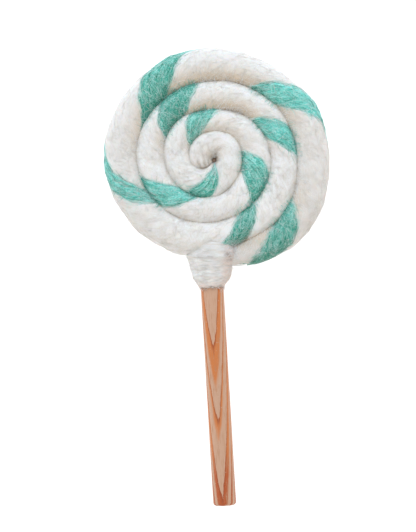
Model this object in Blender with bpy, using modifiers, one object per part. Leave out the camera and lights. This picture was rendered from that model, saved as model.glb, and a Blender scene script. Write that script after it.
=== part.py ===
# Felted wool lollipop: a white rope with a mint strand twisted into it, wound flat, on a round wooden stick.
# The swirl's pit is the centre of the winding, and the stick runs from it along -Y. Lengths are in metres.

import bisect
import math

import bmesh
import bpy

MM = 0.001
GAP = 0.3 * MM

# The winding, seen from above: a turn angle in degrees grows clockwise and is 0 at +X, 90 at -Y
ROPE_START = 127.0
ROPE_END = 1526.0
EIGHTH = 45.0
FIRST_READING = 180.0
# How far the groove outside the rope lies from the pit, at each eighth of a turn from the left on
GROOVE_MM = (
    7.6, 10.0, 9.9, 9.8, 9.5, 10.6, 12.6, 15.0,
    17.0, 18.4, 18.1, 19.1, 20.1, 20.3, 21.3, 24.0,
    26.8, 27.3, 28.0, 29.2, 29.8, 29.8, 31.9, 35.8,
    38.1, 38.9, 39.3, 38.9, 40.3, 41.3, 36.4)
# Between them, where the rope comes out from under its own end, and where the strand bulges at the rim
GROOVE_BETWEEN_MM = ((1150.0, 30.0), (1190.0, 34.6), (1412.0, 40.5))
# The blunt inner tip swells from nothing at the rope's start as the square root of the angle turned
TIP_SWEEP = 73.0
TIP_RADIUS = 9.5 * MM
PIT_RADIUS = 0.6 * MM
TIP_SKIP = 3.0
TIP_RISE = 60.0
TIP_BLUNTNESS = 0.32
TAIL_SWEEP = 34.0
TAIL_BLUNTNESS = 0.6

# The rope's section in the plane through the pit
ROPE_HALF_HEIGHT = 5.6 * MM
UNDERSIDE_FLAT = 0.35 * MM
ROUNDNESS = 2.3
INNER_ROUNDNESS = 2.6
INNER_TURN_END = 420.0

# The mint strand: turn angles where its two edges cross the top of the rope, after its start at the pit
STRAND_START = ((130.0, 235.0), (400.0, 165.0))
STRAND_FIRST_EDGE = (439, 591, 719, 850, 937, 1046, 1140, 1235, 1301, 1389, 1479, 1570)
STRAND_START_BACK = ((130.0, 300.0), (420.0, 184.0), (450.0, 158.0))
STRAND_LAST_EDGE = (481, 625, 762, 881, 972, 1071, 1160, 1250, 1327, 1412, 1503, 1594)
STRAND_DEPTH = 0.45
STRAND_BED = 0.4 * MM
MINT_START = 424.0
MINT_END = 1516.0
BED_RAMP = 20.0

# How finely the rope is divided
RING_SPACING = 2.6 * MM
RING_SWEEP = 8.5
WHITE_ARC_POINTS = 17
MINT_ARC_POINTS = 5
BED_PLACES = (-0.62, 0.0, 0.62)
CUTTER_POINTS = 24

# The stick
STICK_RADIUS = 4.0 * MM
STICK_X = -3.3 * MM
STICK_TOP_Y = -33.2 * MM
STICK_END_Y = -120.6 * MM
STICK_EDGE = 0.9 * MM
STICK_SIDES = 32

# The wrapped wool collar, from the disc down: place along Y, shift from the stick, half width, half depth
COLLAR_SECTIONS_MM = (
    (-29.0, 1.8, 5.8, 5.1),
    (-29.8, 1.6, 7.0, 5.6),
    (-31.0, 1.3, 8.0, 5.85),
    (-32.5, 0.8, 9.0, 5.9),
    (-34.2, 0.8, 8.6, 5.8),
    (-36.5, 0.2, 7.5, 5.6),
    (-38.5, 0.15, 7.2, 5.4),
    (-40.9, 0.15, 6.7, 5.3),
    (-42.1, 0.15, 6.1, 5.1),
    (-43.4, 0.1, 5.3, 4.9),
    (-44.5, 0.0, 4.7, 4.7))
COLLAR_POINTS = 28
COLLAR_ROUNDNESS = 2.3
UNDER_COLLAR = ((1095.0, 1250.0), (1425.0, 1527.0))

WHITE_WOOL = (0.80, 0.78, 0.74, 1.0)
MINT_WOOL = (0.11, 0.52, 0.41, 1.0)
WOOD = (0.68, 0.40, 0.22, 1.0)


def clear_scene():
    for obj in list(bpy.data.objects):
        bpy.data.objects.remove(obj, do_unlink=True)


def make_collection(name):
    group = bpy.data.collections.new(name)
    bpy.context.scene.collection.children.link(group)
    return group


def make_material(name, colour, roughness):
    material = bpy.data.materials.new(name)
    material.use_nodes = True
    shader = material.node_tree.nodes["Principled BSDF"]
    shader.inputs["Base Color"].default_value = colour
    shader.inputs["Roughness"].default_value = roughness
    shader.inputs["Metallic"].default_value = 0.0
    return material


def smooth_value(knots, values, place):
    """A cubic that passes through every value, straight beyond both ends."""
    last = len(knots) - 1
    i = min(max(bisect.bisect_right(knots, place) - 1, 0), last - 1)
    slope = []
    for k in (i, i + 1):
        before = max(k - 1, 0)
        after = min(k + 1, last)
        slope.append((values[after] - values[before]) / (knots[after] - knots[before]))
    if place < knots[0]:
        return values[0] + slope[0] * (place - knots[0])
    if place > knots[last]:
        return values[last] + slope[1] * (place - knots[last])
    span = knots[i + 1] - knots[i]
    t = (place - knots[i]) / span
    rise = values[i + 1] - values[i]
    ease = t * t * (3.0 - 2.0 * t)
    lead = t * (1.0 - t) ** 2 * span * slope[0]
    trail = t * t * (t - 1.0) * span * slope[1]
    return values[i] + rise * ease + lead + trail


READINGS = sorted([(FIRST_READING + EIGHTH * k, value) for k, value in enumerate(GROOVE_MM)]
                  + list(GROOVE_BETWEEN_MM))
GROOVE_KNOTS = [turn for turn, value in READINGS]
GROOVE_RADII = [value * MM for turn, value in READINGS]


def groove_radius(turn):
    """Distance from the pit to the groove outside the rope at a turn angle."""
    if turn <= ROPE_START:
        return 0.0
    tip = TIP_RADIUS * math.sqrt((turn - ROPE_START) / TIP_SWEEP)
    if turn < FIRST_READING:
        return tip
    blend = min((turn - FIRST_READING) / EIGHTH, 1.0)
    return tip * (1.0 - blend) + smooth_value(GROOVE_KNOTS, GROOVE_RADII, turn) * blend


def rope_walls(turn):
    """The section's innermost and outermost distance from the pit."""
    inner = max(groove_radius(turn - 360.0) + GAP / 2.0, PIT_RADIUS)
    return inner, groove_radius(turn) - GAP / 2.0


def rope_half_height(turn):
    """Half the rope's thickness, lower at both of its ends."""
    tip = 1.0 - min((turn - ROPE_START) / TIP_RISE, 1.0)
    tail = max(1.0 - (ROPE_END - turn) / TAIL_SWEEP, 0.0)
    shrink = math.sqrt(1.0 - (1.0 - TIP_BLUNTNESS ** 2) * tip ** 2)
    shrink *= math.sqrt(1.0 - (1.0 - TAIL_BLUNTNESS ** 2) * tail ** 2)
    return ROPE_HALF_HEIGHT * shrink


def rope_point(turn, around, depth=1.0, grow=0.0):
    """A point of the section: around is 0 at the outer side and 90 on top, depth is 1 at the skin."""
    inner, outer = rope_walls(turn)
    half_width = (outer - inner) / 2.0 + grow
    half_height = rope_half_height(turn) + grow
    c = math.cos(math.radians(around))
    s = math.sin(math.radians(around))
    settle = min(max((INNER_TURN_END - turn) / EIGHTH, 0.0), 1.0)
    power = ROUNDNESS
    if c < 0.0:
        power += (INNER_ROUNDNESS - ROUNDNESS) * settle
    out = math.copysign(abs(c) ** (2.0 / power), c) * half_width * depth
    up = math.copysign(abs(s) ** (2.0 / power), s) * half_height * depth
    radius = (inner + outer) / 2.0 + out
    angle = math.radians(turn)
    height = ROPE_HALF_HEIGHT - UNDERSIDE_FLAT + up
    return radius * math.cos(angle), -radius * math.sin(angle), max(height, -grow)


def crossing_curve(hidden_start, crossings):
    """Knots and values of the angle around the rope at which an edge of the strand lies."""
    knots = [turn for turn, around in hidden_start] + [float(turn) for turn in crossings]
    values = [around for turn, around in hidden_start] + [90.0 - 360.0 * k for k in range(len(crossings))]
    return knots, values


FIRST_EDGE = crossing_curve(STRAND_START, STRAND_FIRST_EDGE)
LAST_EDGE = crossing_curve(STRAND_START_BACK, STRAND_LAST_EDGE)


def strand_edges(turn):
    return smooth_value(*FIRST_EDGE, turn), smooth_value(*LAST_EDGE, turn)


def across_strand(edges, place):
    """The angle around the rope at a place from -1 to 1 between the strand's two edges."""
    return (edges[0] + edges[1]) / 2.0 + place * (edges[1] - edges[0]) / 2.0


def strand_floor(place):
    return 1.0 - STRAND_DEPTH * (1.0 - place ** 2)


def white_section(turn):
    """The rope's outer arc from one side of the strand round to the other, then the strand's bed."""
    first, last = strand_edges(turn)
    inner, outer = rope_walls(turn)
    margin = STRAND_BED / min((outer - inner) / 2.0, rope_half_height(turn))
    start = last + math.degrees(margin)
    sweep = 360.0 - (last - first) - 2.0 * math.degrees(margin)
    points = []
    for k in range(WHITE_ARC_POINTS):
        points.append(rope_point(turn, start + sweep * k / (WHITE_ARC_POINTS - 1)))
    sunk = min(max(1.0 - (MINT_START - turn) / BED_RAMP, 0.0), 1.0)
    for place in BED_PLACES:
        depth = 1.0 - sunk * (1.0 - strand_floor(place) + margin)
        points.append(rope_point(turn, across_strand((first, last), place), depth))
    return points


def mint_section(turn):
    """The strand's outer arc, then its floor back to the start."""
    edges = strand_edges(turn)
    points = []
    for k in range(MINT_ARC_POINTS):
        points.append(rope_point(turn, across_strand(edges, 2.0 * k / (MINT_ARC_POINTS - 1) - 1.0)))
    for place in reversed(BED_PLACES):
        points.append(rope_point(turn, across_strand(edges, place), strand_floor(place)))
    return points


def grown_section(turn):
    """The whole rope's outline with the gap round it, to cut the collar with."""
    return [rope_point(turn, 360.0 * k / CUTTER_POINTS, 1.0, GAP) for k in range(CUTTER_POINTS)]


def ring_turns(start, end):
    """Turn angles of the sections, closer together where the winding is wide."""
    turns = [start]
    while turns[-1] < end:
        inner, outer = rope_walls(turns[-1])
        step = math.degrees(RING_SPACING / max((inner + outer) / 2.0, RING_SPACING))
        turns.append(turns[-1] + min(step, RING_SWEEP))
    turns[-1] = end
    return turns


def loft(name, sections):
    """A closed mesh through sections that have the same number of points."""
    mesh = bpy.data.meshes.new(name)
    bm = bmesh.new()
    rings = [[bm.verts.new(point) for point in section] for section in sections]
    count = len(rings[0])
    for near, far in zip(rings, rings[1:]):
        for k in range(count):
            n = (k + 1) % count
            bm.faces.new((near[k], near[n], far[n], far[k]))
    bm.faces.new(rings[0])
    bm.faces.new(rings[-1])
    bmesh.ops.triangulate(bm, faces=bm.faces)
    bmesh.ops.recalc_face_normals(bm, faces=bm.faces)
    bm.to_mesh(mesh)
    bm.free()
    return mesh


def add_object(name, mesh, material, group, parent):
    obj = bpy.data.objects.new(name, mesh)
    group.objects.link(obj)
    obj.parent = parent
    if material:
        mesh.materials.append(material)
    mesh.shade_smooth()
    return obj


def make_cutter(name, mesh, group, parent):
    cutter = add_object(name, mesh, None, group, parent)
    cutter.hide_render = True
    cutter.display_type = "WIRE"
    return cutter


def round_bar(name, radius, top_y, end_y, sides):
    """A cylinder along Y at the stick's place, as a mesh."""
    mesh = bpy.data.meshes.new(name)
    bm = bmesh.new()
    bmesh.ops.create_cone(
        bm, cap_ends=True, segments=sides, radius1=radius, radius2=radius, depth=top_y - end_y)
    turn_down = math.radians(90.0)
    for vert in bm.verts:
        x, y, z = vert.co
        vert.co = (x, y * math.cos(turn_down) - z * math.sin(turn_down), y)
    height = ROPE_HALF_HEIGHT - UNDERSIDE_FLAT
    bmesh.ops.translate(bm, verts=bm.verts, vec=(STICK_X, (top_y + end_y) / 2.0, height))
    bmesh.ops.recalc_face_normals(bm, faces=bm.faces)
    bm.to_mesh(mesh)
    bm.free()
    return mesh


def add_stick(material, group, parent):
    mesh = round_bar("stick", STICK_RADIUS, STICK_TOP_Y, STICK_END_Y, STICK_SIDES)
    stick = add_object("stick", mesh, material, group, parent)
    bevel = stick.modifiers.new("rounded ends", "BEVEL")
    bevel.width = STICK_EDGE
    bevel.segments = 2
    bevel.limit_method = "ANGLE"
    return stick


def collar_section(place, shift, half_width, half_depth):
    points = []
    for k in range(COLLAR_POINTS):
        angle = 2.0 * math.pi * k / COLLAR_POINTS
        c = math.cos(angle)
        s = math.sin(angle)
        out = math.copysign(abs(c) ** (2.0 / COLLAR_ROUNDNESS), c) * half_width
        up = math.copysign(abs(s) ** (2.0 / COLLAR_ROUNDNESS), s) * half_depth
        height = ROPE_HALF_HEIGHT - UNDERSIDE_FLAT + up
        points.append((STICK_X + shift + out, place, max(height, 0.0)))
    return points


def add_collar(material, group, cutters, parent):
    """The wool wound round the stick's top and the rope's lowest turn, hollowed for both."""
    sections = [collar_section(*(value * MM for value in row)) for row in COLLAR_SECTIONS_MM]
    collar = add_object("collar", loft("collar", sections), material, group, parent)
    cuts = []
    for number, (start, end) in enumerate(UNDER_COLLAR):
        rope = loft("rope cutter", [grown_section(turn) for turn in ring_turns(start, end)])
        cuts.append(make_cutter("rope_pass_%d" % (number + 1), rope, cutters, parent))
    stick = round_bar("stick cutter", STICK_RADIUS + GAP, STICK_TOP_Y + GAP, STICK_END_Y, STICK_SIDES)
    cuts.append(make_cutter("stick_hole", stick, cutters, parent))
    for cutter in cuts:
        cut = collar.modifiers.new(cutter.name, "BOOLEAN")
        cut.operation = "DIFFERENCE"
        cut.object = cutter
    return collar


def add_rope(white, mint, group, parent):
    """The white rope from its tip to its tail, and the mint strand, which starts beside the pit."""
    turns = ring_turns(ROPE_START + TIP_SKIP, ROPE_END)
    rope = loft("rope_white", [white_section(turn) for turn in turns])
    strand = loft("rope_mint", [mint_section(turn) for turn in turns if MINT_START <= turn <= MINT_END])
    add_object("rope_white", rope, white, group, parent)
    add_object("rope_mint", strand, mint, group, parent)


def centre_on_box(parent, pieces):
    """Moves everything so that the origin is under the middle of the whole lollipop."""
    bpy.context.view_layer.update()
    corners = [piece.matrix_world @ vert.co for piece in pieces for vert in piece.data.vertices]
    xs = [corner.x for corner in corners]
    ys = [corner.y for corner in corners]
    parent.location = (-(min(xs) + max(xs)) / 2.0, -(min(ys) + max(ys)) / 2.0, 0.0)
    bpy.context.view_layer.update()


def main():
    clear_scene()
    group = make_collection("swirl_lollipop")
    cutters = make_collection("cutters")
    parent = bpy.data.objects.new("swirl_pit", None)
    group.objects.link(parent)
    white = make_material("wool_white", WHITE_WOOL, 0.95)
    mint = make_material("wool_mint", MINT_WOOL, 0.95)
    collar_wool = make_material("wool_collar", WHITE_WOOL, 0.95)
    wood = make_material("wood", WOOD, 0.5)
    add_rope(white, mint, group, parent)
    add_collar(collar_wool, group, cutters, parent)
    add_stick(wood, group, parent)
    centre_on_box(parent, [obj for obj in group.objects if obj.type == "MESH"])


main()
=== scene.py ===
# The looks of a felted wool swirl lollipop: a wound rope, its mint strand, the wound collar and the stick.
# Shapes are worked out in millimetres from the swirl's pit, +Y away from the stick, and placed in metres.

import math

import bpy
import numpy as np
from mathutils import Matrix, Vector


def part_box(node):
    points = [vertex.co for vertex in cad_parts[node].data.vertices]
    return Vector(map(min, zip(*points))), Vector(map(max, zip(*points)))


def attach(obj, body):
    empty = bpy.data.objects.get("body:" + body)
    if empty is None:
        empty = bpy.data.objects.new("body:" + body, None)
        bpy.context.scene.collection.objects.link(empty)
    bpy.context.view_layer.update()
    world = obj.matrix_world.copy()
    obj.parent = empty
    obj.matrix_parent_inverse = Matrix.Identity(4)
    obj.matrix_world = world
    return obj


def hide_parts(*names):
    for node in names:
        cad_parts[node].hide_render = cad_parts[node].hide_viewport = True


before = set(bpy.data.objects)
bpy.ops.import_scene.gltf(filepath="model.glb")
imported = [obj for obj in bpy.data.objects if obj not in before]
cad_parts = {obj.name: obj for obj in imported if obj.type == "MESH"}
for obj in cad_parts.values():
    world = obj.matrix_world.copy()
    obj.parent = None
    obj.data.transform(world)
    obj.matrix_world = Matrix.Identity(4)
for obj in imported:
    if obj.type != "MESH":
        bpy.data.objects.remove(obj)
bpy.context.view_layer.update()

MM = 0.001
PHOTO_HEIGHT = 532
PHOTO_MM = 0.35

# The winding, seen from above: a turn angle in degrees grows clockwise and is 0 at +X, 90 at -Y
ROPE_START = 127.0
ROPE_END = 1526.0
EIGHTH = 45.0
FIRST_READING = 180.0
GROOVE = (
    7.6, 10.0, 9.9, 9.8, 9.5, 10.6, 12.6, 15.0,
    17.0, 18.4, 18.1, 19.1, 20.1, 20.3, 21.3, 24.0,
    26.8, 27.3, 28.0, 29.2, 29.8, 29.8, 31.9, 35.8,
    38.1, 38.9, 39.3, 38.9, 40.3, 41.3, 36.4)
GROOVE_BETWEEN = ((1150.0, 30.0), (1190.0, 34.6), (1412.0, 40.5))
# How far the felt's creases have settled from those readings, at their turn angles
SETTLED = {
    180.0: -0.5, 225.0: -0.3, 270.0: 0.3, 315.0: 0.8, 360.0: 0.3, 405.0: -0.5,
    585.0: 0.3, 630.0: -0.7, 675.0: -0.3, 720.0: -0.2, 765.0: -0.2,
    990.0: -0.7, 1035.0: -0.9, 1080.0: -0.9, 1125.0: 0.7}
TIP_SWEEP = 73.0
TIP_RADIUS = 9.5
PIT_RADIUS = 0.6
TIP_SKIP = 3.0
TIP_RISE = 60.0
TIP_BLUNTNESS = 0.32
TAIL_SWEEP = 34.0
TAIL_BLUNTNESS = 0.6
# How far each turn is felted into its neighbour, and where the outermost turn has none outside it
PRESS = 1.1
RIM_START = 1150.0
RIM_END = 1185.0
# Steps in which its sections are spaced, measured at this share of the way out
SPACING_STEP = 0.25
SPACING_PLACE = 0.8

# The rope's section in the plane through the pit
HALF_HEIGHT = 5.6
MID_HEIGHT = 5.25
ROUNDNESS = 2.3
INNER_ROUNDNESS = 2.6
INNER_TURN_END = 420.0
MEAN_RADIUS = 5.2

# The mint strand: turn angles where its two edges cross the top of the rope, after its start at the pit
STRAND_START = ((130.0, 235.0), (400.0, 165.0))
STRAND_FIRST_EDGE = (439, 591, 719, 850, 937, 1046, 1140, 1235, 1301, 1389, 1479, 1570)
STRAND_START_BACK = ((130.0, 300.0), (420.0, 184.0), (450.0, 158.0))
STRAND_LAST_EDGE = (481, 625, 762, 881, 972, 1071, 1160, 1250, 1327, 1412, 1503, 1594)
MINT_START = 424.0
MINT_END = 1516.0
MINT_RAMP = 16.0

# The stick and the collar wound round its top: a place along Y, then shift, half width and half depth there
STICK_RADIUS = 4.0
STICK_X = -3.3
STICK_TOP_Y = -33.2
STICK_END_Y = -120.6
STICK_EDGE = 1.1
COLLAR_SECTIONS = (
    (-28.2, 1.9, 5.0, 4.7),
    (-29.0, 1.8, 5.9, 5.1),
    (-29.8, 1.6, 7.0, 5.4),
    (-31.0, 1.3, 8.0, 5.7),
    (-32.5, 0.8, 9.0, 5.85),
    (-34.2, 0.8, 8.6, 5.8),
    (-36.5, 0.2, 7.5, 5.6),
    (-38.5, 0.15, 7.2, 5.4),
    (-40.7, 0.15, 6.7, 5.3),
    (-41.8, 0.15, 6.0, 5.05),
    (-42.8, 0.1, 5.3, 4.85),
    (-43.5, 0.05, 4.8, 4.6),
    (-44.0, 0.0, 4.5, 4.35))

# Relief of the wool, in millimetres
BED_DEPTH = 0.6
BED_START = -0.25
BED_EDGE = 0.8
MINT_FLOOR = 1.3
MINT_PUFF = 0.2
MINT_DIVE = 0.2
BORDER_DIP = 0.06
BORDER_DIP_WIDTH = 1.3
EDGE_WANDER = 2.2
WANDER_LENGTH = 6.0
WANDER_SEED = 31
WIDER_MINT = 2.0
NO_MINT = 8.0
TILT = 0.25
# How far the white wool closes over the strand on the rope's flanks, and the angles round it where it does
FLANK_COVER = 1.3
INNER_RISE = (100.0, 150.0)
INNER_FALL = (250.0, 190.0)
OUTER_FALL = (80.0, 30.0)
OUTER_RISE = (290.0, 350.0)
# The band whose colour runs on over the white wool instead, at a turn angle, by this many times the cover
LONG_TIP_TURN = 1282.0
LONG_TIP_REACH = 34.0
LONG_TIP = 2.4

# Creases at the swirl's inner end: a line of points from the pit, how deep they end, and their width
CREASES = (
    (((-3.4, 1.4), (-3.3, -0.8), (-2.9, -3.2)), 0.8, 0.6),
    (((-2.0, 0.2), (-1.7, -1.0), (-1.3, -2.8)), 0.8, 0.5),
    (((-5.9, 1.0), (-5.4, -1.0), (-4.6, -2.8)), 0.6, 0.65))
FOLD = (((0.1, 0.3), (0.5, 1.6), (1.0, 2.9), (2.6, 4.2), (4.6, 4.3)), 0.5, 0.8)

stick_low, stick_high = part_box("stick")
PIT = np.array([(stick_low.x + stick_high.x) / 2.0 - STICK_X * MM, stick_low.y - STICK_END_Y * MM, 0.0])


def srgb(red, green, blue):
    """A colour given as a screen shows it, from 0 to 255, as the linear values that a shader takes."""
    parts = []
    for value in (red, green, blue):
        share = value / 255.0
        parts.append(share / 12.92 if share <= 0.04045 else ((share + 0.055) / 1.055) ** 2.4)
    return (*parts, 1.0)


def smooth_value(knots, values, place):
    """A cubic that passes through every value, straight beyond both ends."""
    knots = np.asarray(knots, float)
    values = np.asarray(values, float)
    place = np.asarray(place, float)
    last = len(knots) - 1
    before = np.maximum(np.arange(last + 1) - 1, 0)
    after = np.minimum(np.arange(last + 1) + 1, last)
    slope = (values[after] - values[before]) / (knots[after] - knots[before])
    i = np.clip(np.searchsorted(knots, place, side="right") - 1, 0, last - 1)
    span = knots[i + 1] - knots[i]
    t = (place - knots[i]) / span
    lead = t * (1.0 - t) ** 2 * span * slope[i]
    trail = t * t * (t - 1.0) * span * slope[i + 1]
    inside = values[i] + (values[i + 1] - values[i]) * t * t * (3.0 - 2.0 * t) + lead + trail
    low = values[0] + slope[0] * (place - knots[0])
    high = values[last] + slope[last] * (place - knots[last])
    return np.where(place < knots[0], low, np.where(place > knots[last], high, inside))


def waves(points, wavelength, seed, count=36):
    """A smooth random field over points, about 1 high, with bumps of about the wavelength."""
    rng = np.random.default_rng(seed)
    ways = rng.normal(size=(count, points.shape[-1]))
    ways /= np.linalg.norm(ways, axis=1, keepdims=True)
    ways *= 2.0 * math.pi / wavelength * rng.uniform(0.7, 1.4, (count, 1))
    phases = rng.uniform(0.0, 2.0 * math.pi, count)
    total = np.zeros(points.shape[:-1])
    for way, phase in zip(ways, phases):
        total += np.cos(points @ way + phase)
    return total * math.sqrt(2.0 / count)


READINGS = sorted([(FIRST_READING + EIGHTH * k, value) for k, value in enumerate(GROOVE)]
                  + list(GROOVE_BETWEEN))
GROOVE_TURNS = [turn for turn, value in READINGS]
GROOVE_RADII = [value + SETTLED.get(turn, 0.0) for turn, value in READINGS]


def groove_radius(turn):
    """Distance from the pit to the groove outside the rope at a turn angle."""
    tip = TIP_RADIUS * np.sqrt(np.maximum(turn - ROPE_START, 0.0) / TIP_SWEEP)
    blend = np.clip((turn - FIRST_READING) / EIGHTH, 0.0, 1.0)
    return tip * (1.0 - blend) + smooth_value(GROOVE_TURNS, GROOVE_RADII, turn) * blend


def ease(share):
    """Runs smoothly from 0 to 1 as share does."""
    share = np.clip(share, 0.0, 1.0)
    return share * share * (3.0 - 2.0 * share)


def ramp(value, zero, one):
    """Runs smoothly from 0 to 1 as a value goes from the first place to the second."""
    return ease((value - zero) / (one - zero))


def hump(turn, middle, reach):
    """1 at a turn angle, down to 0 at this reach on both sides of it."""
    return ease(1.0 - np.abs(turn - middle) / reach)


def sine(degrees):
    """The sine of an angle in degrees."""
    return np.sin(np.radians(degrees))


def cosine(degrees):
    """The cosine of an angle in degrees."""
    return np.cos(np.radians(degrees))


def inner_end(turn):
    """1 at the swirl's inner end, down to 0 where the creases there are over."""
    return np.clip((INNER_TURN_END - turn) / EIGHTH, 0.0, 1.0)


def has_outer_neighbour(turn):
    """1 where another turn lies outside this one, 0 at the rim."""
    return 1.0 - ramp(turn, RIM_START, RIM_END)


def free_side(turn, around):
    """1 on the rope's outer side where no neighbour lies, 0 elsewhere."""
    return np.where(cosine(around) > 0.0, 1.0 - has_outer_neighbour(turn), 0.0)


def far_from_stick(turn):
    """1 on the disc's side away from the stick, 0 on the other."""
    return ease((0.1 - sine(turn)) / 0.9)


def upper_side(around, sharpness):
    """1 on the rope's upper side, 0 below its flanks."""
    return ease(sine(around) * sharpness)


def rope_walls(turn):
    """The section's innermost and outermost distance from the pit, pressed into its neighbours."""
    inner = np.maximum(groove_radius(turn - 360.0) - PRESS, PIT_RADIUS)
    return inner, groove_radius(turn) + PRESS * has_outer_neighbour(turn)


def rope_half_height(turn):
    """Half the rope's thickness, lower at both of its ends."""
    tip = 1.0 - np.clip((turn - ROPE_START) / TIP_RISE, 0.0, 1.0)
    tail = np.clip(1.0 - (ROPE_END - turn) / TAIL_SWEEP, 0.0, 1.0)
    shrink = np.sqrt(1.0 - (1.0 - TIP_BLUNTNESS ** 2) * tip ** 2)
    return HALF_HEIGHT * shrink * np.sqrt(1.0 - (1.0 - TAIL_BLUNTNESS ** 2) * tail ** 2)


def signed_power(value, power):
    """The power of a value's size, with the value's sign."""
    return np.sign(value) * np.abs(value) ** power


def rope_skin(turn, around, lift=0.0):
    """Points on the rope: around is 0 at the outer side and 90 on top, and lift raises them off it."""
    inner, outer = rope_walls(turn)
    c = cosine(around)
    power = ROUNDNESS + np.where(c < 0.0, (INNER_ROUNDNESS - ROUNDNESS) * inner_end(turn), 0.0)
    out = signed_power(c, 2.0 / power) * (outer - inner) / 2.0
    up = signed_power(sine(around), 2.0 / power) * rope_half_height(turn)
    scale = 1.0 + lift / np.maximum(np.hypot(out, up), 1.0)
    radius = np.maximum((inner + outer) / 2.0 + out * scale, 0.05)
    height = np.maximum(MID_HEIGHT + up * scale, 0.0)
    return np.stack([radius * cosine(turn), -radius * sine(turn), height], -1)


def crossing_curve(hidden_start, crossings):
    """Knots and values of the angle around the rope at which an edge of the strand lies."""
    knots = [turn for turn, around in hidden_start] + [float(turn) for turn in crossings]
    values = [around for turn, around in hidden_start] + [90.0 - 360.0 * k for k in range(len(crossings))]
    return knots, values


FIRST_EDGE = crossing_curve(STRAND_START, STRAND_FIRST_EDGE)
LAST_EDGE = crossing_curve(STRAND_START_BACK, STRAND_LAST_EDGE)
LENGTH_STEP = 0.5
LENGTH_TURNS = np.arange(ROPE_START, ROPE_END + 1.0, LENGTH_STEP)
LENGTHS = np.concatenate(
    [[0.0], np.cumsum(np.radians(LENGTH_STEP) * np.mean(rope_walls(LENGTH_TURNS[1:]), axis=0))])


def length_to(turn):
    """The rope's length from its start to a turn angle."""
    return np.interp(turn, LENGTH_TURNS, LENGTHS)


def strand_middle(turn):
    """The middle of the strand and half its width, as angles around the rope."""
    first = smooth_value(*FIRST_EDGE, turn)
    last = smooth_value(*LAST_EDGE, turn)
    return (first + last) / 2.0, (last - first) / 2.0


def from_strand(turn, around):
    """The angle from the strand's middle to a place on the rope, from -180 to 180, and half its width."""
    middle, half = strand_middle(turn)
    return (around - middle + 180.0) % 360.0 - 180.0, half


def strand_lay(turn, around):
    """Places along the rope, and round it in step with the strand: the wool's fibres run along these."""
    angle = np.radians(around - strand_middle(turn)[0])
    along = length_to(turn) + 0.0 * angle
    return np.stack([along, MEAN_RADIUS * np.cos(angle), MEAN_RADIUS * np.sin(angle)], -1)


def strand_share(turn):
    """0 before the mint strand comes up beside the pit, 1 once it is full."""
    return ease((turn - MINT_START) / MINT_RAMP)


def edge_wander(turn, place):
    """The angle by which the strand's edge strays: its first edge where place is below 0, else its last."""
    along = length_to(turn)[..., None]
    first, last = [waves(along, WANDER_LENGTH, WANDER_SEED + side) for side in (0, 1)]
    return EDGE_WANDER * np.where(place < 0.0, first, last) + WIDER_MINT


def border_distance(turn, around):
    """Distance over the skin from the strand's nearer edge, below 0 on the strand itself."""
    delta, half = from_strand(turn, around)
    return (np.abs(delta) - half - edge_wander(turn, delta)) * math.radians(1.0) * MEAN_RADIUS


def colour_border(turn, around):
    """Distance from where the strand's colour ends: on the rope's flanks the white wool closes over it."""
    place = around % 360.0
    inner_side = ramp(place, *INNER_RISE) * ramp(place, *INNER_FALL)
    outer_side = np.where(place < 180.0, ramp(place, *OUTER_FALL), ramp(place, *OUTER_RISE))
    cover = FLANK_COVER * np.where(from_strand(turn, around)[0] < 0.0, inner_side, outer_side)
    cover = cover * (1.0 - (1.0 + LONG_TIP) * hump(turn, LONG_TIP_TURN, LONG_TIP_REACH))
    return border_distance(turn, around) + cover + NO_MINT * (1.0 - strand_share(turn))


def line_cut(points, line, width, start, end):
    """A soft groove along a line seen from above, with its depth at the start and at the end."""
    line = np.array(line)
    legs = len(line) - 1
    cut = np.zeros(points.shape[:-1])
    for k in range(legs):
        way = line[k + 1] - line[k]
        along = np.clip(((points[..., :2] - line[k]) @ way) / (way @ way), 0.0, 1.0)
        gap = points[..., :2] - line[k] - along[..., None] * way
        depth = start + (end - start) * (k + along) / legs
        cut = np.maximum(cut, depth * np.exp(-(gap ** 2).sum(-1) / width ** 2))
    return cut


def crease_depth(points):
    """How deep the creases at the swirl's inner end cut at these places, seen from above."""
    line, deep, width = FOLD
    depth = line_cut(points, line, width, deep, 0.15 * deep)
    for line, deep, width in CREASES:
        depth = np.maximum(depth, line_cut(points, line, width, 0.2 * deep, deep))
    return depth


def lumps(turn, around):
    """The felt's own unevenness, the same for the white wool and the strand laid in it."""
    points = rope_skin(turn, around)
    lay = strand_lay(turn, around)
    broad = waves(points, 11.0, 1) * 0.13 + waves(points, 4.5, 2) * 0.06 + waves(points, 1.8, 3) * 0.02
    strands = waves(lay * (0.14, 1.0, 1.0), 2.6, 4) * 0.03 + waves(lay * (0.1, 1.0, 1.0), 1.1, 5) * 0.01
    return section_tilt(turn, around) + broad + strands


def white_lift(turn, around):
    """Relief of the white wool, with the shallow bed of the strand."""
    border = border_distance(turn, around)
    bed = BED_DEPTH * ease((BED_START - border) / BED_EDGE)
    dip = BORDER_DIP * np.exp(-(border / BORDER_DIP_WIDTH) ** 2)
    lift = lumps(turn, around) - strand_share(turn) * (bed + dip)
    return lift - inner_end(turn) * upper_side(around, 2.0) * crease_depth(rope_skin(turn, around))


def mint_lift(turn, around, place):
    """Relief of the strand's skin, which dives into the white wool at both edges."""
    lay = strand_lay(turn, around)
    edge = np.abs(place)
    skin = MINT_PUFF * (1.0 - edge ** 2) ** 2 - MINT_DIVE * ease((edge - 0.85) / 0.15)
    streaks = waves(lay * (0.1, 1.0, 1.0), 1.6, 6) * 0.04 + waves(lay * (0.12, 1.0, 1.0), 0.8, 7) * 0.02
    tangle = waves(rope_skin(turn, around), 1.2, 8) * 0.03
    return skin + lumps(turn, around) + (streaks + tangle) * (1.0 - ease((edge - 0.7) / 0.3))


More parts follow.
